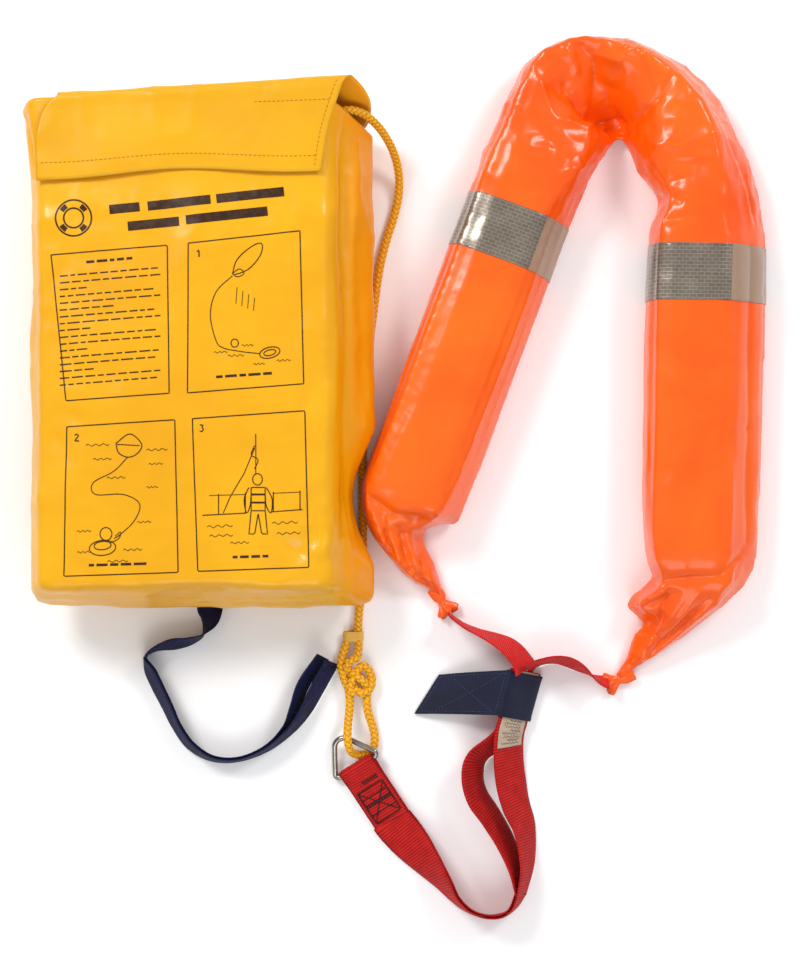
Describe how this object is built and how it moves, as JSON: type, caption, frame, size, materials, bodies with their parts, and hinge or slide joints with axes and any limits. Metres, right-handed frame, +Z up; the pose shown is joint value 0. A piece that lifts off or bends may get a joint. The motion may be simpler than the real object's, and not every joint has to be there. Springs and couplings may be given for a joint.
{
  "type": "man-overboard rescue sling kit",
  "caption": "Rescue kit laid flat: lidded stowage bag with throwing line and tail webbing, delta ring, lifting strap with sliding keeper, and a horseshoe buoyant sling.",
  "frame": {"origin": "centre of the bag's flat back panel, on the face that rests on the ground", "axes": "+Z up out of the ground through the bag's front; +Y from the bag's base to its mouth, the kit's longest direction; +X from the bag towards the sling"},
  "size_m": [0.6595, 0.7954, 0.1101],
  "materials": {
    "bag_pvc": "PVC-coated polyester, glossy",
    "pocket_pvc": "PVC-coated polyester, glossy",
    "hook_loop_tape": "woven nylon hook and loop tape",
    "floating_line": "braided polypropylene",
    "whipping_tape": "cloth tape",
    "ring_steel": "polished stainless steel",
    "lifting_webbing": "ribbed polyester webbing",
    "dark_thread": "bonded sewing thread",
    "navy_thread": "bonded sewing thread",
    "label_cloth": "woven label tape",
    "keeper_cordura": "woven nylon cloth",
    "tail_webbing": "ribbed polyester webbing",
    "sling_pvc": "PVC-coated polyester, glossy",
    "foam": "closed-cell foam",
    "reflective_tape": "retroreflective tape"
  },
  "bodies": {
    "laid_kit": {"bag_back_panel": "bag_pvc", "bag_base_panel": "bag_pvc", "bag_front_panel": "bag_pvc", "bag_left_gusset": "bag_pvc", "bag_right_gusset": "bag_pvc", "cover_crown": "sling_pvc", "cover_left_arm": "sling_pvc", "eye_stitching": "dark_thread", "foam_crown": "foam", "foam_left": "foam", "front_loop_tape": "hook_loop_tape", "gathered_tail_left": "sling_pvc", "left_lead": "lifting_webbing", "left_strand": "lifting_webbing", "line_end_tape": "whipping_tape", "line_eye": "floating_line", "line_knot": "floating_line", "line_pocket": "pocket_pvc", "reflective_band_left": "reflective_tape", "right_lead": "lifting_webbing", "right_strand": "lifting_webbing", "stowed_line": "floating_line", "strap_bend": "lifting_webbing", "strap_eye": "lifting_webbing", "strap_label": "label_cloth", "strap_run": "lifting_webbing", "tail_cross": "tail_webbing", "tail_leg": "tail_webbing", "tail_loop_inner": "tail_webbing", "tail_loop_outer": "tail_webbing", "tail_root": "tail_webbing", "tail_tie_left": "sling_pvc", "throw_line": "floating_line"},
    "lid": {"bag_lid": "bag_pvc"},
    "tongue": {"flap_tongue": "bag_pvc", "flap_hook_tape": "hook_loop_tape"},
    "ring": {"delta_ring": "ring_steel"},
    "keeper": {"keeper_sleeve": "keeper_cordura", "keeper_tab": "keeper_cordura", "keeper_stitching": "navy_thread"},
    "right_arm": {"foam_right": "foam", "cover_right_arm": "sling_pvc", "gathered_tail_right": "sling_pvc", "tail_tie_right": "sling_pvc", "reflective_band_right": "reflective_tape"}
  },
  "joints": [
    {"name": "lid_hinge", "type": "hinge", "parent": "laid_kit", "child": "lid", "pos_m": [0, 0.2056, 0.001], "axis": [-1, 0, 0], "range_deg": [0, 66]},
    {"name": "tongue_peel", "type": "hinge", "parent": "lid", "child": "tongue", "pos_m": [-0.0045, 0.2335, 0.1085], "axis": [-0.9982, -0.0606, 0], "range_deg": [0, 88]},
    {"name": "ring_swing", "type": "hinge", "parent": "laid_kit", "child": "ring", "pos_m": [0.1275, -0.3655, 0.0094], "axis": [0.825, 0.5256, 0.2079], "range_deg": [0, 75], "deforming": ["line_eye"]},
    {"name": "keeper_slide", "type": "slide", "parent": "laid_kit", "child": "keeper", "axis": [-0.2639, -0.9646, 0], "range_m": [0, 0.012]},
    {"name": "arms_close", "type": "hinge", "parent": "laid_kit", "child": "right_arm", "pos_m": [0.378, 0.185, 0.03], "axis": [0, 0, -1], "range_deg": [0, 4], "stiffness_Nm_per_rad": 2, "deforming": ["cover_crown", "foam_crown", "right_lead"]}
  ]
}
